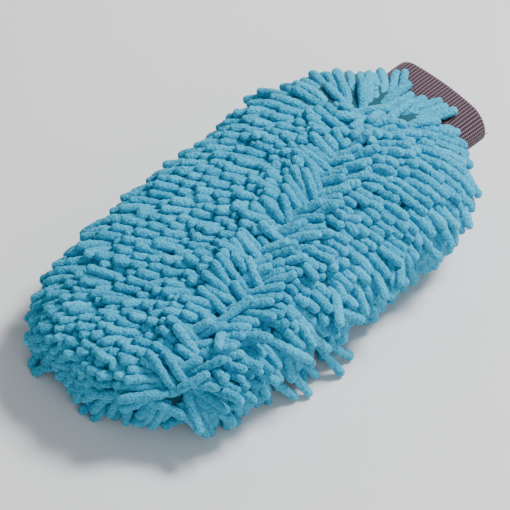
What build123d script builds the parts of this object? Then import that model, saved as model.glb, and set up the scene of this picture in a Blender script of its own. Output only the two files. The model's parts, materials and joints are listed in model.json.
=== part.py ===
from build123d import *
from collections import namedtuple
from math import atan2, cos, degrees, pi, radians
import os

# A microfibre wash mitt lying palm down. X is its width, Y its length with the fingertip
# end towards -Y and the cuff towards +Y, and Z is up. The origin is on the surface it
# lies on, below the middle of its box.

# ---- driving dimensions, mm ------------------------------------------------------------
LENGTH = 328.0  # fingertip pile to the mouth of the cuff
WIDTH = 182.0  # across the pile
CUFF_VISIBLE = 20.0  # cuff that stands out past the pile
FRONT_HEIGHT = 70.0  # top of the pile at the fingertip end
REAR_HEIGHT = 92.0  # top of the pile at the cuff end
PILE_SIDE = 17.0  # thickness of the strand pile around the edge
PILE_TOP = 16.0  # on the back of the hand
PILE_BOTTOM = 14.0  # on the palm, pressed down by the weight of the mitt
FLAT_DIP = 1.5  # how far the palm form would bulge below the surface it rests on
CLOTH = 1.0  # base cloth that the strands are tufted into
LINING = 1.0  # cloth of the hand pocket
LAYER_GAP = 0.3  # between one layer and the next
SEAM_FRONT_Z = 34.0  # height of the seam line at the fingertip end of the shell
SEAM_REAR_Z = 49.0  # and at the cuff end
PLAN_EXPONENT = 3.7  # how square the ends are in plan
FRONT_END_WIDTH = 0.55  # width of a form at its fingertip end, as a share of its full width
REAR_END_WIDTH = 0.72  # and at its cuff end
POCKET_REAR_WIDTH = 0.85  # the same for the hand pocket at the cuff
CORNER_SHARE = 0.46  # corner radius of a cross-section, as a share of its height
STATIONS = 9  # cross-sections that each form is lofted through

POCKET_WIDTH = 112.0
POCKET_FRONT_Y = -132.0
POCKET_REAR_Y = 120.0
POCKET_FRONT_Z = (28.0, 47.0)  # floor and roof of the hand pocket at the fingertips
POCKET_REAR_Z = (34.0, 65.0)  # and at the cuff

SHELL_ALLOWANCE = 3.5  # seam allowance of the base cloth, turned inwards
LINING_ALLOWANCE = 3.0  # seam allowance of the lining, turned outwards
ALLOWANCE_PLY = 0.8
LINING_SEAM_END_Y = 106.0  # where the lining's side seams run out, short of the cuff
THREAD = 0.6  # diameter of the sewing thread
STITCH = 4.5  # length of one stitch
STITCH_PITCH = 7.5
SEAM_SLOT = 2.3  # each foam pad starts this far from the seam plane, clear of the threads

CUFF_WIDTH = 80.0  # outside of the relaxed cuff
CUFF_HEIGHT = 27.0
CUFF_PLY = 1.8  # one ply of the doubled rib knit
PLY_GAP = 0.4  # between the two plies
PILE_OVERHANG = 5.0  # pile that stands past the line where the cuff folds
PILE_CLEARANCE = 3.0  # around the cuff, for its swing
BINDING_WIDTH = 12.0
BINDING_START = 1.2  # from the end of the pocket to the binding
SIDE_STITCHES = 4
SIDE_STITCH_SHARE = 0.7  # of the pitch that the thread shows for
SIDE_STITCH_START = 0.6  # where the first one lies, in pitches from the fold line
SIDE_THREAD_GAP = 0.1  # from the cuff to the thread of its side seam

# ---- derived dimensions ----------------------------------------------------------------
FRONT_Y = -LENGTH / 2
MOUTH_Y = LENGTH / 2
PILE_REAR_Y = MOUTH_Y - CUFF_VISIBLE
FOLD_Y = PILE_REAR_Y - PILE_OVERHANG
CUFF_WALL = 2 * CUFF_PLY + PLY_GAP
THREAD_R = THREAD / 2

Form = namedtuple("Form", "front rear width low_front low_rear high_front high_rear rear_share")

PILE_FORM = Form(
    front=FRONT_Y,
    rear=PILE_REAR_Y,
    width=WIDTH,
    low_front=-FLAT_DIP,
    low_rear=-FLAT_DIP,
    high_front=FRONT_HEIGHT,
    high_rear=REAR_HEIGHT,
    rear_share=REAR_END_WIDTH,
)
SHELL_FORM = Form(
    front=FRONT_Y + PILE_SIDE,
    rear=PILE_REAR_Y - PILE_SIDE,
    width=WIDTH - 2 * PILE_SIDE,
    low_front=PILE_BOTTOM,
    low_rear=PILE_BOTTOM,
    high_front=FRONT_HEIGHT - PILE_TOP,
    high_rear=REAR_HEIGHT - PILE_TOP,
    rear_share=REAR_END_WIDTH,
)
POCKET_FORM = Form(
    front=POCKET_FRONT_Y,
    rear=POCKET_REAR_Y,
    width=POCKET_WIDTH,
    low_front=POCKET_FRONT_Z[0],
    low_rear=POCKET_REAR_Z[0],
    high_front=POCKET_FRONT_Z[1],
    high_rear=POCKET_REAR_Z[1],
    rear_share=POCKET_REAR_WIDTH,
)

SEAM_SLOPE = (SEAM_REAR_Z - SEAM_FRONT_Z) / (SHELL_FORM.rear - SHELL_FORM.front)
SEAM_ANGLE = degrees(atan2(SEAM_SLOPE, 1.0))


def seam_z(y):
    """Height of the seam line, which rises evenly from the fingertips to the cuff."""
    return SEAM_FRONT_Z + SEAM_SLOPE * (y - SHELL_FORM.front)


SEAM_PLANE = Plane(origin=(0, 0, seam_z(0))).rotated((SEAM_ANGLE, 0, 0))
CUFF_Z = seam_z(SHELL_FORM.rear)


def inset(form, depth):
    """The same form with every face moved inwards by depth, or outwards if it is negative."""
    return form._replace(
        front=form.front + depth,
        rear=form.rear - depth,
        width=form.width - 2 * depth,
        low_front=form.low_front + depth,
        low_rear=form.low_rear + depth,
        high_front=form.high_front - depth,
        high_rear=form.high_rear - depth,
    )


def end_station(share):
    """Where along its own axis a superellipse has narrowed to this share of its width."""
    return (1 - share**PLAN_EXPONENT) ** (1 / PLAN_EXPONENT)


def profile_at(form, u, y):
    """Width, height and centre height of a form at y, where u runs from -1 to 1."""
    share = (1 - abs(u) ** PLAN_EXPONENT) ** (1 / PLAN_EXPONENT)
    along = (y - form.front) / (form.rear - form.front)
    low = form.low_front + along * (form.low_rear - form.low_front)
    high = form.high_front + along * (form.high_rear - form.high_front)
    middle = seam_z(y) + share * ((low + high) / 2 - seam_z(y))
    return form.width * share, (high - low) * share, middle


def stations(form, count=STATIONS):
    """Cross-sections from the fingertip end to the cuff end, closer together at the ends."""
    first = -end_station(FRONT_END_WIDTH)
    last = end_station(form.rear_share)
    for i in range(count):
        u = first + (last - first) * (1 - cos(pi * i / (count - 1))) / 2
        y = form.front + (form.rear - form.front) * (u - first) / (last - first)
        yield (y, *profile_at(form, u, y))


def across(y, z):
    """A plane across the mitt at y, with its own y axis pointing up."""
    return Plane(origin=(0, y, z), x_dir=(1, 0, 0), z_dir=(0, -1, 0))


def sections(form):
    faces = []
    for y, width, height, middle in stations(form):
        with BuildSketch(across(y, middle)) as section:
            RectangleRounded(width, height, CORNER_SHARE * height)
        faces.append(section.sketch.face())
    return faces


def oval(grow, y):
    """The cuff's rounded outline, grown by this much all round."""
    with BuildSketch(across(y, CUFF_Z)) as outline:
        SlotOverall(CUFF_WIDTH + 2 * grow, CUFF_HEIGHT + 2 * grow)
    return outline.sketch


def neck(grow, start, end, mode):
    """An oval bar along Y around the cuff's own axis."""
    extrude(oval(grow, start), amount=-(end - start), mode=mode)


def seam_half(offset, keep):
    """Keeps one side of the seam plane moved by offset."""
    split(bisect_by=SEAM_PLANE.offset(offset), keep=keep)


def edge_points(form, depth, end_y):
    """Points along a form's edge in the seam plane, from end_y round the fingertips and back."""
    stretch = 1 / cos(radians(SEAM_ANGLE))
    side = [(w / 2, y * stretch) for y, w, _, _ in stations(inset(form, depth)) if y <= end_y]
    tip = (0, side[0][1])
    return list(reversed(side)) + [tip] + [(-x, y) for x, y in side]


def stitch_line(points, offset):
    """Places for stitches along a line through points, this far from the seam plane."""
    with BuildLine(SEAM_PLANE.offset(offset)) as line:
        Spline(*points)
    path = line.wire()
    count = int(path.length / STITCH_PITCH)
    return [path.location_at((i + 0.5) / count) for i in range(count)]


def write(piece, name):
    piece.part.label = name
    export_step(piece.part, "parts/" + name + ".step")


os.makedirs("parts", exist_ok=True)

# ---- chenille pile: the strand layer of the back and of the palm -------------------------
# Each is a closed half of the outer form around the shell, open where the cuff comes out.
for pile_name, gap_side, pile_keep in (
    ("back_chenille_pile", 1, Keep.TOP),
    ("palm_chenille_pile", -1, Keep.BOTTOM),
):
    with BuildPart() as pile:
        loft(sections(PILE_FORM))
        loft(sections(inset(SHELL_FORM, -LAYER_GAP)), mode=Mode.SUBTRACT)
        neck(PILE_CLEARANCE, SHELL_FORM.rear - CLOTH, MOUTH_Y, Mode.SUBTRACT)
        seam_half(gap_side * LAYER_GAP / 2, pile_keep)
        split(bisect_by=Plane.XY, keep=Keep.TOP)
    write(pile, pile_name)

# ---- base cloth: what the strands are tufted into, with its edge turned inwards ----------
for cloth_name, side, cloth_keep in (
    ("back_base_cloth", 1, Keep.TOP),
    ("palm_base_cloth", -1, Keep.BOTTOM),
):
    with BuildPart() as cloth:
        loft(sections(SHELL_FORM))
        loft(sections(inset(SHELL_FORM, CLOTH + SHELL_ALLOWANCE)), mode=Mode.SUBTRACT)
        seam_half(side * LAYER_GAP / 2, cloth_keep)
        with BuildPart(mode=Mode.PRIVATE) as hollow:
            loft(sections(inset(SHELL_FORM, CLOTH)))
            seam_half(side * (LAYER_GAP / 2 + ALLOWANCE_PLY), cloth_keep)
        add(hollow.part, mode=Mode.SUBTRACT)
        neck(LAYER_GAP, SHELL_FORM.rear - CLOTH - SHELL_ALLOWANCE, MOUTH_Y, Mode.SUBTRACT)
    write(cloth, cloth_name)

# ---- foam interliners: the two pads that fill the mitt out round the pocket --------------
for foam_name, side, foam_keep in (
    ("back_foam_interliner", 1, Keep.TOP),
    ("palm_foam_interliner", -1, Keep.BOTTOM),
):
    with BuildPart() as foam:
        loft(sections(inset(SHELL_FORM, CLOTH + LAYER_GAP)))
        loft(sections(inset(POCKET_FORM, -LINING - LAYER_GAP)), mode=Mode.SUBTRACT)
        neck(LAYER_GAP, POCKET_REAR_Y, MOUTH_Y, Mode.SUBTRACT)
        seam_half(side * SEAM_SLOT, foam_keep)
    write(foam, foam_name)

# ---- pocket lining: two cloth halves with their edges turned outwards --------------------
for lining_name, side, lining_keep in (
    ("back_pocket_lining", 1, Keep.TOP),
    ("palm_pocket_lining", -1, Keep.BOTTOM),
):
    with BuildPart() as lining:
        loft(sections(inset(POCKET_FORM, -LINING)))
        with BuildPart(mode=Mode.PRIVATE) as flange:
            loft(sections(inset(POCKET_FORM, -LINING - LINING_ALLOWANCE)))
            split(bisect_by=SEAM_PLANE.offset(ALLOWANCE_PLY + LAYER_GAP / 2), keep=Keep.BOTTOM)
            split(bisect_by=SEAM_PLANE.offset(-ALLOWANCE_PLY - LAYER_GAP / 2), keep=Keep.TOP)
            split(bisect_by=across(LINING_SEAM_END_Y, CUFF_Z), keep=Keep.TOP)
        add(flange.part)
        loft(sections(POCKET_FORM), mode=Mode.SUBTRACT)
        neck(-CUFF_WALL, POCKET_REAR_Y - LINING, MOUTH_Y, Mode.SUBTRACT)
        seam_half(side * LAYER_GAP / 2, lining_keep)
    write(lining, lining_name)

# ---- sewing thread of the shell and of the lining ----------------------------------------
THREAD_LEVEL = LAYER_GAP / 2 + ALLOWANCE_PLY + LAYER_GAP + THREAD_R

for thread_name, form, depth, end_y in (
    ("shell_seam_thread", SHELL_FORM, CLOTH + 0.75 * SHELL_ALLOWANCE, SHELL_FORM.rear),
    ("lining_seam_thread", POCKET_FORM, -LINING - LINING_ALLOWANCE / 2, LINING_SEAM_END_Y),
):
    with BuildPart() as thread:
        for level in (THREAD_LEVEL, -THREAD_LEVEL):
            with Locations(*stitch_line(edge_points(form, depth, end_y), level)):
                Cylinder(THREAD_R, STITCH)
    write(thread, thread_name)

# ---- binding tape round the seam between cuff, shell and lining --------------------------
BINDING_Y = POCKET_REAR_Y + BINDING_START
with BuildPart() as binding:
    neck(0, BINDING_Y, BINDING_Y + BINDING_WIDTH, Mode.ADD)
    neck(-CUFF_WALL, BINDING_Y, BINDING_Y + BINDING_WIDTH, Mode.SUBTRACT)
write(binding, "cuff_seam_binding")

# ---- thread that sews the binding down, one row round its outside -------------------------
ROW_Y = SHELL_FORM.rear + (BINDING_Y + BINDING_WIDTH - SHELL_FORM.rear) / 2
with BuildPart() as attachment:
    row = oval(LAYER_GAP + THREAD_R, ROW_Y).face().outer_wire()
    row_count = int(row.length / STITCH_PITCH)
    with Locations(*[row.location_at((i + 0.5) / row_count) for i in range(row_count)]):
        Cylinder(THREAD_R, STITCH)
write(attachment, "cuff_attachment_thread")

# ---- cuff: a rib-knit tube folded double at its mouth --------------------------------------
with BuildPart() as cuff:
    neck(0, FOLD_Y, MOUTH_Y, Mode.ADD)
    fillet(cuff.faces().sort_by(Axis.Y)[-1].edges(), CUFF_PLY)
    neck(-CUFF_WALL, FOLD_Y, MOUTH_Y, Mode.SUBTRACT)
    fillet(cuff.faces().sort_by(Axis.Y)[-1].inner_wires()[0].edges(), CUFF_PLY)
    with BuildPart(mode=Mode.PRIVATE) as ply_space:
        neck(-CUFF_PLY, FOLD_Y, MOUTH_Y - CUFF_PLY, Mode.ADD)
        neck(-CUFF_PLY - PLY_GAP, FOLD_Y, MOUTH_Y - CUFF_PLY, Mode.SUBTRACT)
    add(ply_space.part, mode=Mode.SUBTRACT)
write(cuff, "cuff_rib_knit")

# ---- thread of the cuff's own side seam, a short row along its right edge ----------------------
SIDE_THREAD_X = CUFF_WIDTH / 2 + THREAD_R + SIDE_THREAD_GAP
SIDE_PITCH = (MOUTH_Y - FOLD_Y - 2 * CUFF_PLY) / SIDE_STITCHES
with BuildPart() as side_thread:
    for i in range(SIDE_STITCHES):
        stitch_y = FOLD_Y + SIDE_PITCH * (i + SIDE_STITCH_START)
        with Locations(Location((SIDE_THREAD_X, stitch_y, CUFF_Z), (90, 0, 0))):
            Cylinder(THREAD_R, SIDE_PITCH * SIDE_STITCH_SHARE)
write(side_thread, "cuff_side_seam_thread")
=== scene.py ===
import json
from math import cos, pi, radians, sin

import bpy
import numpy as np
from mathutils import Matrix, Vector


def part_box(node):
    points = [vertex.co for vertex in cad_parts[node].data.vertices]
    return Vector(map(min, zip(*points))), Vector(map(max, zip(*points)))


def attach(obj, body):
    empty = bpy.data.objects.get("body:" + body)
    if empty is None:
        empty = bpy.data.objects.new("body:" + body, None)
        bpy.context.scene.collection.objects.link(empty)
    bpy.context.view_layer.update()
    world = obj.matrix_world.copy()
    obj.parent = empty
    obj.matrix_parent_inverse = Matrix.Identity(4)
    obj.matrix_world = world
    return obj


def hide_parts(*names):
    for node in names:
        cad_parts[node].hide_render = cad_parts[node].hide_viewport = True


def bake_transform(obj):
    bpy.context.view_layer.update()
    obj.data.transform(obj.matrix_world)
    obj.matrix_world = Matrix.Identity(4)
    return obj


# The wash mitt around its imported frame. Metres; X is the width, Y runs from the fingertips
# to the cuff, Z is up.

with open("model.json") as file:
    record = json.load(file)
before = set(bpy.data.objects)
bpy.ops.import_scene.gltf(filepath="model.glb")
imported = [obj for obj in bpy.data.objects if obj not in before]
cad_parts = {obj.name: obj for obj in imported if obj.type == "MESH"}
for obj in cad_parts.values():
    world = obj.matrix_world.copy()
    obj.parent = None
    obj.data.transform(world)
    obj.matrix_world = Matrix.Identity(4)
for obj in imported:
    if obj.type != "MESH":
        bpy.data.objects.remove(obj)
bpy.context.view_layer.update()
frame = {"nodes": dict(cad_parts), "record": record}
rng = np.random.default_rng(7)

# ---- driving values ----------------------------------------------------------------------
STRAND_R = 0.00315  # radius of one chenille strand
STRAND_LENGTH = 0.032
STRAND_POINTS = 6  # points that a strand bends at
TOP_SPACING = 0.0083  # between strand roots on the back of the mitt
FAN_SHARE = 0.74  # of that spacing, on the back, near each end, where strands fan out
FAN_LENGTH = 0.062
PALM_SPACING = 0.0097  # and on the palm, where they are pressed flat
SECTION_EXPONENT = 3.0  # how square a cross-section is
PLAN_EXPONENT = 3.7  # how square the ends are in plan
SETTLE_STEPS = 150
PRESS = 0.00019  # how far a tip is drawn down and along in one step
RINGS = 22  # along one strand
SIDES = 12  # round one strand
FLOOR_GAP = 0.0001  # between the floor and the nap that lies on it
WALE = 0.0024  # width of one rib of the cuff
COURSE = 0.0017  # length of one knit stitch of the cuff


def node_box(name):
    low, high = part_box(name)
    return np.array(low, float), np.array(high, float)


shell_low = np.minimum(node_box("back_base_cloth")[0], node_box("palm_base_cloth")[0])
shell_high = np.maximum(node_box("back_base_cloth")[1], node_box("palm_base_cloth")[1])
pile_low = np.minimum(node_box("back_chenille_pile")[0], node_box("palm_chenille_pile")[0])
pile_high = np.maximum(node_box("back_chenille_pile")[1], node_box("palm_chenille_pile")[1])
cuff_low, cuff_high = node_box("cuff_rib_knit")
fold = frame["record"]["behaviour"]["joints"][0]["pos_m"]


# ---- helpers -----------------------------------------------------------------------------
def new_mesh(name, points, faces, smooth=True):
    """A mesh object from an array of points and an array of equal-sized faces."""
    mesh = bpy.data.meshes.new(name)
    points = np.asarray(points, np.float32)
    faces = np.asarray(faces, np.int32)
    count, corners = faces.shape
    mesh.vertices.add(len(points))
    mesh.vertices.foreach_set("co", points.ravel())
    mesh.loops.add(count * corners)
    mesh.loops.foreach_set("vertex_index", faces.ravel())
    mesh.polygons.add(count)
    mesh.polygons.foreach_set("loop_start", np.arange(count, dtype=np.int32) * corners)
    mesh.update(calc_edges=True)
    mesh.validate()
    mesh.polygons.foreach_set("use_smooth", np.full(len(mesh.polygons), smooth))
    piece = bpy.data.objects.new(name, mesh)
    bpy.context.scene.collection.objects.link(piece)
    return piece


def material(name, roughness, sheen=0.0, sheen_tint=(1, 1, 1)):
    """A new material with its constants on the shader; returns it, its nodes and a linker."""
    made = bpy.data.materials.new(name)
    made.use_nodes = True
    nodes = made.node_tree.nodes
    shader = nodes["Principled BSDF"]
    shader.inputs["Roughness"].default_value = roughness
    shader.inputs["Specular IOR Level"].default_value = 0.25
    shader.inputs["Sheen Weight"].default_value = sheen
    shader.inputs["Sheen Roughness"].default_value = 0.45
    shader.inputs["Sheen Tint"].default_value = (*sheen_tint, 1)
    return made, nodes, made.node_tree.links.new


def noise(nodes, link, scale, detail=3.0, coordinates="Object"):
    place = nodes.new("ShaderNodeTexCoord")
    texture = nodes.new("ShaderNodeTexNoise")
    texture.inputs["Scale"].default_value = scale
    texture.inputs["Detail"].default_value = detail
    link(place.outputs[coordinates], texture.inputs["Vector"])
    return texture.outputs["Fac"]


def colours(nodes, link, value, stops):
    """A colour ramp driven by value; stops are (position, colour)."""
    ramp = nodes.new("ShaderNodeValToRGB")
    while len(ramp.color_ramp.elements) < len(stops):
        ramp.color_ramp.elements.new(0.5)
    for element, (position, colour) in zip(ramp.color_ramp.elements, stops):
        element.position = position
        element.color = (*colour, 1)
    link(value, ramp.inputs["Fac"])
    return ramp.outputs["Color"]


def mixed(nodes, link, first, second, share, kind="MULTIPLY"):
    mix = nodes.new("ShaderNodeMix")
    mix.data_type = "RGBA"
    mix.blend_type = kind
    mix.inputs["Factor"].default_value = share
    link(first, mix.inputs["A"])
    link(second, mix.inputs["B"])
    return mix.outputs["Result"]


def bump(nodes, link, height, strength, distance):
    made = nodes.new("ShaderNodeBump")
    made.inputs["Strength"].default_value = strength
    made.inputs["Distance"].default_value = distance
    link(height, made.inputs["Height"])
    link(made.outputs["Normal"], nodes["Principled BSDF"].inputs["Normal"])


def wave(nodes, link, scale, direction, profile="SIN"):
    place = nodes.new("ShaderNodeTexCoord")
    texture = nodes.new("ShaderNodeTexWave")
    texture.bands_direction = direction
    texture.wave_profile = profile
    texture.inputs["Scale"].default_value = scale
    texture.inputs["Distortion"].default_value = 0.4
    link(place.outputs["Object"], texture.inputs["Vector"])
    return texture.outputs["Fac"]


# ---- materials ---------------------------------------------------------------------------
def chenille_material():
    """Cyan split-fibre yarn: soft sheen, a fine curly nap and a little shade from strand to strand."""
    made, nodes, link = material("chenille", 0.92, 0.35, (0.4, 0.86, 1.0))
    shade = nodes.new("ShaderNodeAttribute")
    shade.attribute_name = "shade"
    strand = colours(
        nodes, link, shade.outputs["Fac"],
        [(0.0, (0.018, 0.40, 0.62)), (0.5, (0.034, 0.49, 0.74)), (1.0, (0.065, 0.61, 0.87))],
    )
    nap = noise(nodes, link, 620.0, 6.0)
    grain = colours(nodes, link, nap, [(0.38, (0.3, 0.52, 0.6)), (0.58, (1.0, 1.0, 1.0))])
    link(mixed(nodes, link, strand, grain, 0.75), nodes["Principled BSDF"].inputs["Base Color"])
    bump(nodes, link, nap, 1.0, 0.0024)
    return made


def weave_material(name, dark, light, pitch, sheen=0.2, roughness=0.85):
    """A plain woven or knitted cloth with yarns along X and Y."""
    made, nodes, link = material(name, roughness, sheen)
    across = wave(nodes, link, 1.0 / pitch / 3.2, "X")
    along = wave(nodes, link, 1.0 / pitch / 3.2, "Y")
    product = nodes.new("ShaderNodeMath")
    product.operation = "MULTIPLY"
    link(across, product.inputs[0])
    link(along, product.inputs[1])
    base = colours(nodes, link, product.outputs["Value"], [(0.0, dark), (0.8, light)])
    mottle = colours(
        nodes, link, noise(nodes, link, 160.0), [(0.3, (0.8, 0.8, 0.8)), (0.7, (1, 1, 1))]
    )
    link(mixed(nodes, link, base, mottle, 0.8), nodes["Principled BSDF"].inputs["Base Color"])
    bump(nodes, link, product.outputs["Value"], 0.5, 0.0004)
    return made


def foam_material():
    """Open-cell foam: pale, matt and pitted."""
    made, nodes, link = material("foam", 0.95)
    place = nodes.new("ShaderNodeTexCoord")
    cells = nodes.new("ShaderNodeTexVoronoi")
    cells.inputs["Scale"].default_value = 700.0
    link(place.outputs["Object"], cells.inputs["Vector"])
    base = colours(
        nodes, link, cells.outputs["Distance"], [(0.0, (0.45, 0.43, 0.38)), (0.5, (0.8, 0.78, 0.72))]
    )
    link(base, nodes["Principled BSDF"].inputs["Base Color"])
    bump(nodes, link, cells.outputs["Distance"], 0.6, 0.0006)
    return made


def cuff_material():
    """Rib knit in a dark wine grey, with painted shade making it dark between the stitches and a painted
    highlight making it light on their raised yarn.
    """
    made, nodes, link = material("cuff_knit", 0.7, 0.35, (0.9, 0.8, 0.9))
    height = nodes.new("ShaderNodeAttribute")
    height.attribute_name = "height"
    # The colour follows the knit's relief height: near black in the hollows between the stitches as painted
    # shade, pale on the raised yarn as painted highlight, and the wine grey in between.
    base = colours(
        nodes, link, height.outputs["Fac"],
        [(0.1, (0.022, 0.009, 0.014)), (0.5, (0.095, 0.048, 0.066)), (0.95, (0.33, 0.25, 0.30))],
    )
    fibre = noise(nodes, link, 1500.0, 3.0)
    grain = colours(nodes, link, fibre, [(0.3, (0.65, 0.62, 0.65)), (0.7, (1, 1, 1))])
    link(mixed(nodes, link, base, grain, 0.7), nodes["Principled BSDF"].inputs["Base Color"])
    bump(nodes, link, fibre, 0.4, 0.0003)
    return made


def thread_material(name, dark, light):
    """Spun sewing thread with its twist."""
    made, nodes, link = material(name, 0.6, 0.3)
    twist = wave(nodes, link, 900.0, "DIAGONAL")
    link(colours(nodes, link, twist, [(0.2, dark), (0.8, light)]), nodes["Principled BSDF"].inputs["Base Color"])
    bump(nodes, link, twist, 0.5, 0.0001)
    return made


def floor_material():
    made, nodes, link = material("floor", 0.6)
    tone = colours(
        nodes, link, noise(nodes, link, 3.0), [(0.3, (0.80, 0.80, 0.80)), (0.7, (0.83, 0.83, 0.83))]
    )
    link(tone, nodes["Principled BSDF"].inputs["Base Color"])
    return made


# ---- the shell that the strands grow from ---------------------------------------------------
shell_front, shell_rear = shell_low[1], shell_high[1]
shell_middle_y = (shell_front + shell_rear) / 2
shell_half_length = (shell_rear - shell_front) / 2 * 1.02
shell_half_width = (shell_high[0] - shell_low[0]) / 2
SHELL_FLOOR = shell_low[2]
SHELL_ROOF = (shell_high[2] - 0.021, shell_high[2] + 0.001)  # at the fingertips and the cuff
SEAM_Z = (0.034, fold[2])  # seam height at the fingertips and at the cuff


def shell_shape(y):
    """Floor to roof half height and middle height of the shell at y, before its ends close."""
    t = (y - shell_front) / (shell_rear - shell_front)
    roof = SHELL_ROOF[0] + t * (SHELL_ROOF[1] - SHELL_ROOF[0])
    seam = SEAM_Z[0] + t * (SEAM_Z[1] - SEAM_Z[0])
    u = np.clip(np.abs((y - shell_middle_y) / shell_half_length), 0, 1)
    share = (1 - u**PLAN_EXPONENT) ** (1 / PLAN_EXPONENT)
    middle = seam + share * ((SHELL_FLOOR + roof) / 2 - seam)
    return (roof - SHELL_FLOOR) / 2, middle


def shell_level(p):
    """Below 1 inside the shell, 1 on it, and growing evenly outside it."""
    half_height, middle = shell_shape(p[..., 1])
    across = np.abs(p[..., 0] / shell_half_width) ** SECTION_EXPONENT
    up = np.abs((p[..., 2] - middle) / half_height) ** SECTION_EXPONENT
    ring = (across + up) ** (PLAN_EXPONENT / SECTION_EXPONENT)
    along = np.abs((p[..., 1] - shell_middle_y) / shell_half_length) ** PLAN_EXPONENT
    return (ring + along) ** (1 / PLAN_EXPONENT)


def shell_normal(p):
    """The gradient of shell_level, and its length."""
    step = 1e-4
    gradient = np.empty_like(p)
    for axis in range(3):
        shift = np.zeros(3)
        shift[axis] = step
        gradient[..., axis] = (shell_level(p + shift) - shell_level(p - shift)) / (2 * step)
    size = np.linalg.norm(gradient, axis=-1, keepdims=True) + 1e-9
    return gradient / size, size[..., 0]


def spaced(line, spacing):
    """Places along a line of points, this far apart, as fractional indices."""
    steps = np.linalg.norm(np.diff(line, axis=0), axis=1)
    length = np.concatenate([[0], np.cumsum(steps)])
    count = max(2, int(round(length[-1] / spacing)))
    return np.interp((np.arange(count) + 0.5) / count * length[-1], length, np.arange(len(line)))


def strand_roots():
    """Points on the shell in tufted rows across it, fewer where it is pressed on the palm."""
    theta = np.linspace(0, pi, 400)
    edge = np.stack(
        [
            shell_half_width * np.sin(theta) ** (2 / PLAN_EXPONENT),
            -np.sign(np.cos(theta)) * np.abs(np.cos(theta)) ** (2 / PLAN_EXPONENT) * shell_half_length,
        ],
        axis=1,
    )
    roots = []
    for row in spaced(edge, TOP_SPACING):
        half_width = np.interp(row, np.arange(400), edge[:, 0])
        y = shell_middle_y + np.interp(row, np.arange(400), edge[:, 1])
        half_height, middle = shell_shape(np.array(y))
        share = half_width / shell_half_width
        phi = np.linspace(0, 2 * pi, 721)
        power = 2 / SECTION_EXPONENT
        ring = np.stack(
            [
                half_width * np.sign(np.cos(phi)) * np.abs(np.cos(phi)) ** power,
                np.full(721, y),
                middle + half_height * share * np.sign(np.sin(phi)) * np.abs(np.sin(phi)) ** power,
            ],
            axis=1,
        )
        start = rng.uniform(0, 1)
        fan = FAN_SHARE if y > shell_rear - FAN_LENGTH or y < shell_front + FAN_LENGTH / 2 else 1.0
        for stretch, spacing in ((ring[:361], TOP_SPACING * fan), (ring[360:], PALM_SPACING)):
            for place in spaced(stretch, spacing):
                i = min(place + (start - 0.5) * 0.6, len(stretch) - 1)
                roots.append([np.interp(i, np.arange(len(stretch)), stretch[:, k]) for k in range(3)])
    # extra rows of tufts along the parting keep it full
    line = PART_END - PART_START
    across = np.array([-line[1], line[0]]) / np.linalg.norm(line)
    for t in np.arange(-0.03, 1.03, PART_SPACING / np.linalg.norm(line)):
        for offset in PART_OFFSETS:
            x, y = PART_START + t * line + across * offset
            roots.append([x, y, shell_high[2]])
    roots = np.array(roots)
    roots += rng.normal(0, 0.0008, roots.shape)
    for _ in range(4):
        normal, size = shell_normal(roots)
        roots -= normal * ((shell_level(roots) - 1) / size)[:, None]
    neck = (roots[:, 1] > shell_rear - 0.012) & (np.abs(roots[:, 0]) < cuff_high[0] + 0.002)
    neck &= np.abs(roots[:, 2] - fold[2]) < (cuff_high[2] - cuff_low[2]) / 2 + 0.002
    return roots[~neck]


# The strands part along a line that runs across the back, from the right front corner to
# the middle of the cuff end, and they lie away from it on both sides.
PART_START = np.array([0.052, shell_front + 0.016])
PART_END = np.array([-0.003, shell_rear - 0.036])
PART_SPACING = 0.0068  # between the extra tufts along the parting
PART_OFFSETS = (-0.010, -0.005, 0.0, 0.005, 0.010)
CROSSING = 0.62  # share of the strands on the parting itself that lie across it
PART_WIDTH = 0.024  # how far from the parting the strands stand up


def comb(roots, normal):
    """The way each strand lies: away from the parting, down the sides, along the palm."""
    line = PART_END - PART_START
    t = np.clip(((roots[:, :2] - PART_START) @ line) / (line @ line), 0, 1)
    away = roots[:, :2] - (PART_START + t[:, None] * line)
    distance = np.linalg.norm(away, axis=1, keepdims=True)
    away = away / (distance + 1e-6)
    way = np.concatenate([away, np.zeros((len(roots), 1))], axis=1)
    left = (line[0] * (roots[:, 1] - PART_START[1]) - line[1] * (roots[:, 0] - PART_START[0])) > 0
    inner = (t > 0.0) & (t < 1.0)
    way[left & inner, 1] -= 0.95
    way[~left & inner, 1] -= 0.15
    way[:, 2] -= 1.9 * (1 - np.clip(normal[:, 2], 0, 1)) * (normal[:, 2] > -0.5)
    palm = normal[:, 2] < -0.5
    way[palm, 0] = -0.5 * roots[palm, 0] / shell_half_width
    way[palm, 1] = -1.0
    way[palm & (roots[:, 1] < shell_front + 0.03), 1] = 0.6
    upright = np.clip(1 - distance / PART_WIDTH, 0, 1) * (normal[:, 2:3] > 0.5)
    crossing = rng.uniform(0, 1, (len(roots), 1)) < CROSSING * upright
    way *= np.where(crossing, -0.8, 1 - 0.35 * upright)
    way += rng.normal(0, 0.12, way.shape) * (1 + 1.0 * upright)
    way -= normal * np.sum(way * normal, axis=1, keepdims=True)
    return way / np.maximum(np.linalg.norm(way, axis=1, keepdims=True), 1.0), upright


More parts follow.
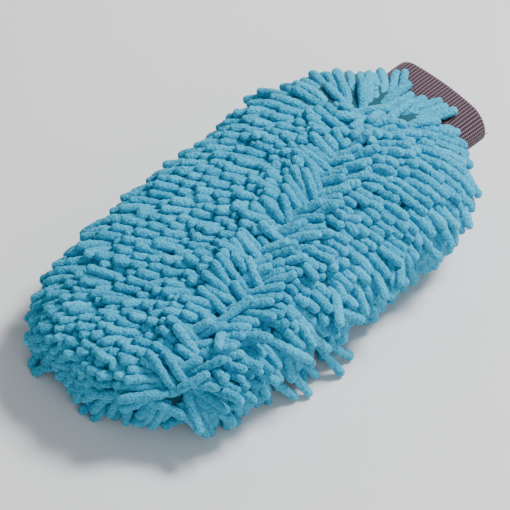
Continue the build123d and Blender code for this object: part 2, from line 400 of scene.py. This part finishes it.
def close_pairs(points, reach):
    """Every pair of points nearer than reach, found through a grid of cells that size."""
    cell = np.floor((points - points.min(0)) / reach).astype(np.int64) + 1
    span = cell.max(0) + 2
    key = (cell[:, 0] * span[1] + cell[:, 1]) * span[2] + cell[:, 2]
    order = np.argsort(key, kind="stable")
    ordered = key[order]
    first, second = [], []
    for dx in (-1, 0, 1):
        for dy in (-1, 0, 1):
            for dz in (-1, 0, 1):
                target = key + (dx * span[1] + dy) * span[2] + dz
                low = np.searchsorted(ordered, target, "left")
                count = np.searchsorted(ordered, target, "right") - low
                here = np.repeat(np.arange(len(points)), count)
                offset = np.arange(count.sum()) - np.repeat(np.cumsum(count) - count, count)
                there = order[np.repeat(low, count) + offset]
                keep = here < there
                first.append(here[keep])
                second.append(there[keep])
    first, second = np.concatenate(first), np.concatenate(second)
    near = np.linalg.norm(points[first] - points[second], axis=1) < reach
    return first[near], second[near]


def settle(roots, lengths):
    """Lays the strands down beside and on each other, by position-based dynamics."""
    normal, _ = shell_normal(roots)
    way, upright = comb(roots, normal)
    count = len(roots)
    segment = (lengths / (STRAND_POINTS - 1))[:, None]
    rise = rng.uniform(0.4, 0.9, (count, 1)) + 0.3 * upright
    start = normal * rise + way * 0.8
    start /= np.linalg.norm(start, axis=1, keepdims=True)
    p = roots[:, None, :] + start[:, None, :] * (np.arange(STRAND_POINTS)[None, :, None] * segment[:, None])
    strand = np.repeat(np.arange(count), STRAND_POINTS)
    place = np.tile(np.arange(STRAND_POINTS), count)
    lean = (np.arange(STRAND_POINTS) / (STRAND_POINTS - 1))[None, :, None]
    floor = STRAND_R * 1.02
    gravity = np.array([0, 0, -1.0])
    for step in range(SETTLE_STEPS):
        press = PRESS if step < SETTLE_STEPS * 0.75 else PRESS / 3
        sink = press * (0.95 - 0.3 * upright)[:, None, :]
        p += lean * (way[:, None, :] * press - normal[:, None, :] * sink + gravity * press * 0.4)
        if step % 4 == 0:
            a, b = close_pairs(p.reshape(-1, 3), STRAND_R * 2.6)
            other = (strand[a] != strand[b]) & (place[a] + place[b] > 1)
            a, b = a[other], b[other]
        for _ in range(2):
            flat = p.reshape(-1, 3)
            gap = flat[a] - flat[b]
            size = np.linalg.norm(gap, axis=1, keepdims=True) + 1e-9
            push = np.clip(STRAND_R * 1.93 - size, 0, STRAND_R * 0.5) * 0.42 * gap / size
            move = np.zeros_like(flat)
            hits = np.zeros(len(flat))
            for axis in range(3):
                move[:, axis] += np.bincount(a, push[:, axis], len(flat))
                move[:, axis] -= np.bincount(b, push[:, axis], len(flat))
            hits += np.bincount(a, minlength=len(flat)) + np.bincount(b, minlength=len(flat))
            flat = flat + move / np.sqrt(np.maximum(hits, 1) / 2)[:, None].clip(1, None)
            p = flat.reshape(p.shape)
            p[:, 0] = roots
            for i in range(1, STRAND_POINTS - 1):
                bend = (p[:, i - 1] + p[:, i + 1]) / 2 - p[:, i]
                p[:, i] += bend * 0.3
            for i in range(1, STRAND_POINTS):
                along = p[:, i] - p[:, i - 1]
                size = np.linalg.norm(along, axis=1, keepdims=True) + 1e-9
                fix = along * (1 - segment / size)
                share = 1.0 if i == 1 else 0.65
                p[:, i] -= fix * share
                if i > 1:
                    p[:, i - 1] += fix * (1 - share)
            flat = p[:, 1:].reshape(-1, 3)
            level = shell_level(flat)
            inside = level < 1.18
            direction, size = shell_normal(flat[inside])
            depth = STRAND_R * 0.9 - (level[inside] - 1) / size
            flat[inside] += direction * np.clip(depth, 0, 0.002)[:, None]
            p[:, 1:] = flat.reshape(count, STRAND_POINTS - 1, 3)
            keep_off_cuff(p)
            p[:, 1:, 2] = np.maximum(p[:, 1:, 2], floor)
            p[:, 1:] = np.clip(p[:, 1:], pile_low - 0.004 + STRAND_R, pile_high + 0.006 - STRAND_R)
    return p


def keep_off_cuff(p):
    """Strands at the cuff lie over it, not in it."""
    half = (cuff_high - cuff_low) / 2 + STRAND_R + 0.0004
    x = p[..., 0]
    z = p[..., 2] - fold[2]
    flat_part = half[0] - half[2]
    over = np.clip(np.abs(x) - flat_part, 0, None)
    radius = np.sqrt(over**2 + z**2) + 1e-9
    hit = (p[..., 1] > shell_rear - 0.002) & (radius < half[2])
    grow = np.where(hit, half[2] / radius, 1.0)
    p[..., 2] = fold[2] + z * grow
    p[..., 0] = np.where(hit & (over > 0), np.sign(x) * (flat_part + over * grow), x)


def curve_through(p, count):
    """count points evenly along a smooth curve through each strand's points."""
    padded_points = np.concatenate([2 * p[:, :1] - p[:, 1:2], p, 2 * p[:, -1:] - p[:, -2:-1]], axis=1)
    t = np.linspace(0, STRAND_POINTS - 1 - 1e-6, count)
    i = t.astype(int)
    f = (t - i)[None, :, None]
    a, b, c, d = (padded_points[:, i + k] for k in range(4))
    return 0.5 * (2 * b + (c - a) * f + (2 * a - 5 * b + 4 * c - d) * f**2 + (3 * b - a - 3 * c + d) * f**3)


def strand_mesh(name, p, thickness, shade):
    """Tubes along the strands with rounded tips, lumps along them and a ragged nap."""
    count = len(p)
    line = curve_through(p, RINGS)
    tangent = np.gradient(line, axis=1)
    tangent /= np.linalg.norm(tangent, axis=2, keepdims=True) + 1e-9
    side = np.cross(tangent[:, :1], np.array([0.31, 0.17, 0.94]))
    side = side / (np.linalg.norm(side, axis=2, keepdims=True) + 1e-9)
    side = side - tangent * np.sum(side * tangent, axis=2, keepdims=True)
    side /= np.linalg.norm(side, axis=2, keepdims=True) + 1e-9
    other = np.cross(tangent, side)
    profile = np.ones(RINGS)
    profile[-1] = 0.95
    profile[0] = 0.8
    lumps = 1 + 0.045 * rng.normal(0, 1, (count, RINGS))
    ragged = 1 + 0.07 * rng.normal(0, 1, (count, RINGS, SIDES))
    radius = (thickness[:, None] * profile * lumps)[:, :, None] * ragged
    angle = np.arange(SIDES) * 2 * pi / SIDES
    ring = side[:, :, None] * np.cos(angle)[:, None] + other[:, :, None] * np.sin(angle)[:, None]
    points = line[:, :, None, :] + ring * radius[..., None]
    cap_line = line[:, -1] + tangent[:, -1] * (thickness * 0.5)[:, None]
    cap = cap_line[:, None] + ring[:, -1] * (thickness * 0.72)[:, None, None]
    tip = cap_line + tangent[:, -1] * (thickness * 0.3)[:, None]
    points = np.concatenate([points.reshape(count, -1, 3), cap, tip[:, None]], axis=1)
    # the nap flattens where a strand lies on the floor
    points[..., 2] = np.maximum(points[..., 2], FLOOR_GAP)
    per = points.shape[1]
    rings = RINGS + 1
    i, j = np.meshgrid(np.arange(rings - 1), np.arange(SIDES), indexing="ij")
    a = i * SIDES + j
    b = i * SIDES + (j + 1) % SIDES
    quads = np.stack([a, b, b + SIDES, a + SIDES], axis=-1).reshape(-1, 4)
    last = (rings - 1) * SIDES
    fan = [[last + k, last + (k + 1) % SIDES, last + (k + 2) % SIDES, rings * SIDES] for k in range(0, SIDES, 2)]
    base = [[k, 0, k - 2, k - 1] for k in range(3, SIDES, 2)]
    one = np.concatenate([quads, np.array(fan), np.array(base)])
    faces = (one[None] + np.arange(count)[:, None, None] * per).reshape(-1, 4)
    piece = new_mesh(name, points.reshape(-1, 3), faces)
    tone = piece.data.attributes.new("shade", "FLOAT", "POINT")
    tone.data.foreach_set("value", np.repeat(shade, per).astype(np.float32))
    return piece


def build_pile(finish):
    """All strands, settled together, then cut into pieces by side and by length."""
    roots = strand_roots()
    lengths = STRAND_LENGTH * rng.uniform(0.86, 1.12, len(roots))
    normal, _ = shell_normal(roots)
    palm = normal[:, 2] < -0.35
    p = settle(roots, lengths)
    print("strands", len(roots), "palm", palm.sum())
    thickness = STRAND_R * rng.uniform(0.93, 1.07, len(roots))
    shade = np.clip(rng.normal(0.5, 0.22, len(roots)), 0, 1)
    back = roots[:, 2] > np.interp(roots[:, 1], [shell_front, shell_rear], SEAM_Z)
    over_cuff = (p[:, -1, 1] > fold[1] - 0.001) & (np.abs(p[:, -1, 0]) < cuff_high[0] + 0.008)
    over_cuff &= np.abs(p[:, -1, 2] - fold[2]) < 0.024
    for name, node, chosen in (
        ("back_strands", "back_chenille_pile", back & ~over_cuff),
        ("palm_strands", "palm_chenille_pile", ~back & ~over_cuff),
    ):
        thirds = np.array_split(np.flatnonzero(chosen)[np.argsort(roots[chosen, 1])], 3)
        for part, index in zip(("fingertip", "middle", "cuff"), thirds):
            piece = strand_mesh(f"{name}_{part}", p[index], thickness[index], shade[index])
            piece.data.materials.append(finish)
            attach(piece, "mitt")
            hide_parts(node)
    piece = strand_mesh("strands_over_cuff", p[over_cuff], thickness[over_cuff], shade[over_cuff])
    piece.data.materials.append(finish)
    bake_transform(piece)


# ---- inner layers --------------------------------------------------------------------------
def soft_copy(node, name, voxel, swell, finish):
    """A node's solid rebuilt as an even soft mesh, with the small hollows and swells of cloth."""
    source = frame["nodes"][node]
    mesh = source.data.copy()
    mesh.transform(source.matrix_world)
    piece = bpy.data.objects.new(name, mesh)
    bpy.context.scene.collection.objects.link(piece)
    piece.data.materials.clear()
    remesh = piece.modifiers.new("even", "REMESH")
    remesh.mode = "VOXEL"
    remesh.voxel_size = voxel
    evened = piece.evaluated_get(bpy.context.evaluated_depsgraph_get())
    final = bpy.data.meshes.new_from_object(evened)
    piece.modifiers.clear()
    piece.data = final
    p = np.empty(len(final.vertices) * 3)
    final.vertices.foreach_get("co", p)
    p = p.reshape(-1, 3)
    ripple = np.sin(p[:, 0] * 190 + 1.3) * np.sin(p[:, 1] * 160) + 0.6 * np.sin(p[:, 1] * 310 + p[:, 0] * 90)
    p[:, 2] += swell * ripple
    final.vertices.foreach_set("co", p.ravel())
    final.polygons.foreach_set("use_smooth", np.full(len(final.polygons), True))
    final.materials.clear()
    final.materials.append(finish)
    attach(piece, "mitt")
    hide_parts(node)
    return piece


# ---- cuff ------------------------------------------------------------------------------------
def oval_ring(half_width, half_height, count):
    """Points and outward normals evenly round an oval with round ends, as (x, z)."""
    straight = 2 * (half_width - half_height)
    arc = pi * half_height
    s = np.arange(count) / count * 2 * (straight + arc)
    points, normals = np.empty((count, 2)), np.empty((count, 2))
    for k, place in enumerate(s):
        if place < straight:
            point, normal = (-straight / 2 + place, half_height), (0, 1)
        elif place < straight + arc:
            turn = (place - straight) / half_height
            normal = (sin(turn), cos(turn))
            point = (straight / 2 + half_height * normal[0], half_height * normal[1])
        elif place < 2 * straight + arc:
            point, normal = (straight / 2 - (place - straight - arc), -half_height), (0, -1)
        else:
            turn = (place - 2 * straight - arc) / half_height
            normal = (-sin(turn), -cos(turn))
            point = (-straight / 2 + half_height * normal[0], half_height * normal[1])
        points[k], normals[k] = point, normal
    return points, normals


def build_cuff(finish):
    """A doubled tube of rib knit: out along the outer ply, round the fold and back inside."""
    half_width = (cuff_high[0] - cuff_low[0]) / 2 - 0.0006
    half_height = (cuff_high[2] - cuff_low[2]) / 2 - 0.0006
    wall = 0.0036
    per_wale, per_course = 6, 4
    girth = 4 * (half_width - half_height) + 2 * pi * half_height
    wales = int(round(girth / WALE))
    count = wales * per_wale
    outer, normals = oval_ring(half_width, half_height, count)
    root_y = fold[1] - 0.005
    mouth_y = cuff_high[1] - 0.0004
    round_r = wall / 2
    path = []
    step = COURSE / per_course
    for y in np.arange(root_y, mouth_y - round_r, step):
        path.append((y, 0.0, 0.0))
    for turn in np.arange(0, pi, step / round_r):
        path.append((mouth_y - round_r + round_r * sin(turn), round_r - round_r * cos(turn), turn))
    for y in np.arange(mouth_y - round_r, root_y, -step * 2.5):
        path.append((y, wall, pi))
    wale = np.arange(count) / per_wale * 2 * pi
    points, heights = [], []
    for k, (y, depth, turn) in enumerate(path):
        course = k / per_course * 2 * pi
        rib = 0.5 + 0.5 * np.cos(wale)
        dash = 0.5 + 0.5 * np.cos(course + 0.9 * np.abs(np.sin(wale / 2)))
        height = 0.42 * rib + 0.58 * rib**0.5 * dash
        lift = height * 0.00075
        # the knit draws in a little at its root and bellies towards the mouth
        along = (y - root_y) / (mouth_y - root_y)
        belly = 0.0006 * sin(pi * min(along, 1)) - 0.0012 * (1 - along)
        inward = -depth + belly + lift * cos(turn)
        x = outer[:, 0] + normals[:, 0] * inward
        z = outer[:, 1] + normals[:, 1] * inward
        bow = -0.0035 * (x / half_width) ** 2 * max(along, 0)
        points.append(np.stack([x, y + bow + lift * sin(turn) - 0.0005, fold[2] + z], axis=1))
        heights.append(height)
    rows = len(points)
    points = np.concatenate(points)
    i, j = np.meshgrid(np.arange(rows), np.arange(count), indexing="ij")
    a = i * count + j
    b = i * count + (j + 1) % count
    c = ((i + 1) % rows) * count + (j + 1) % count
    d = ((i + 1) % rows) * count + j
    piece = new_mesh("cuff_knit_tube", points, np.stack([a, d, c, b], axis=-1).reshape(-1, 4))
    # This relief height also sets the cuff's painted shade between the stitches and painted highlight on the
    # raised yarn.
    attribute = piece.data.attributes.new("height", "FLOAT", "POINT")
    attribute.data.foreach_set("value", np.concatenate(heights).astype(np.float32))
    piece.data.materials.append(finish)
    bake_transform(piece)
    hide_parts("cuff_rib_knit")
    print("cuff faces", len(piece.data.polygons))
    return piece


# ---- camera, floor and lights ------------------------------------------------------------------
AZIMUTH, ELEVATION, DISTANCE = radians(45.6), radians(48.5), 3.5
AIM_LEFT, AIM_UP = 0.0085, 0.0150  # from the origin to the middle of the picture
VIEW_WIDTH = 0.330  # width of the picture at the mitt
SENSOR = 36.0


def add_camera():
    back = Vector((sin(AZIMUTH) * cos(ELEVATION), -cos(AZIMUTH) * cos(ELEVATION), sin(ELEVATION)))
    right = Vector((cos(AZIMUTH), sin(AZIMUTH), 0))
    aim = back.cross(right) * AIM_UP - right * AIM_LEFT
    data = bpy.data.cameras.new("camera")
    data.sensor_width = SENSOR
    data.lens = SENSOR * DISTANCE / VIEW_WIDTH
    data.clip_end = 50
    camera = bpy.data.objects.new("camera", data)
    camera.location = aim + back * DISTANCE
    camera.rotation_euler = back.to_track_quat("Z", "Y").to_euler()
    bpy.context.scene.collection.objects.link(camera)
    bpy.context.scene.camera = camera


def add_light(name, place, size, power, colour=(1, 1, 1)):
    data = bpy.data.lights.new(name, "AREA")
    data.size = size
    data.energy = power
    data.color = colour
    light = bpy.data.objects.new(name, data)
    light.location = place
    light.rotation_euler = Vector(place).to_track_quat("Z", "Y").to_euler()
    bpy.context.scene.collection.objects.link(light)


def add_stage():
    side = 6.0
    corners = [(-side, -side, 0), (side, -side, 0), (side, side, 0), (-side, side, 0)]
    floor = new_mesh("floor", corners, [[0, 1, 2, 3]], smooth=False)
    floor.data.materials.append(floor_material())
    world = bpy.data.worlds.new("studio")
    world.use_nodes = True
    world.node_tree.nodes["Background"].inputs["Color"].default_value = (0.9, 0.95, 1.0, 1)
    world.node_tree.nodes["Background"].inputs["Strength"].default_value = 0.37
    bpy.context.scene.world = world
    add_light("key", (0.35, 1.0, 1.5), 0.5, 51.0)
    add_light("fill", (1.3, -0.6, 0.9), 1.0, 7.0, (0.92, 0.97, 1.0))


# ---- build ---------------------------------------------------------------------------------------
add_camera()
add_stage()
build_pile(chenille_material())
build_cuff(cuff_material())

# The backing cloth's own dark teal weave, set extra dark as painted shade so the gaps between the strands read
# shaded.
base_cloth_finish_with_painted_shade = weave_material("base_cloth", (0.006, 0.06, 0.09), (0.02, 0.15, 0.21), 0.0011)
lining_finish = weave_material("lining", (0.12, 0.13, 0.14), (0.36, 0.38, 0.40), 0.0013)
foam_finish = foam_material()
for side in ("back", "palm"):
    cloth = soft_copy(f"{side}_base_cloth", f"{side}_cloth_panel", 0.0007, 0.00004, base_cloth_finish_with_painted_shade)
    lining = soft_copy(f"{side}_pocket_lining", f"{side}_lining_panel", 0.0007, 0.00004, lining_finish)
    foam = soft_copy(f"{side}_foam_interliner", f"{side}_foam_pad", 0.0016, 0.00006, foam_finish)
binding = soft_copy(
    "cuff_seam_binding", "binding_tape", 0.0007, 0.00003,
    weave_material("binding", (0.03, 0.02, 0.025), (0.12, 0.09, 0.1), 0.0009),
)

for node, finish in (
    ("shell_seam_thread", thread_material("shell_thread", (0.04, 0.2, 0.28), (0.12, 0.42, 0.55))),
    ("lining_seam_thread", thread_material("lining_thread", (0.15, 0.16, 0.17), (0.35, 0.37, 0.39))),
    ("cuff_attachment_thread", thread_material("cuff_thread", (0.04, 0.03, 0.035), (0.14, 0.1, 0.12))),
    ("cuff_side_seam_thread", bpy.data.materials["cuff_thread"]),
):
    thread = frame["nodes"][node]
    thread.data.materials.clear()
    thread.data.materials.append(finish)
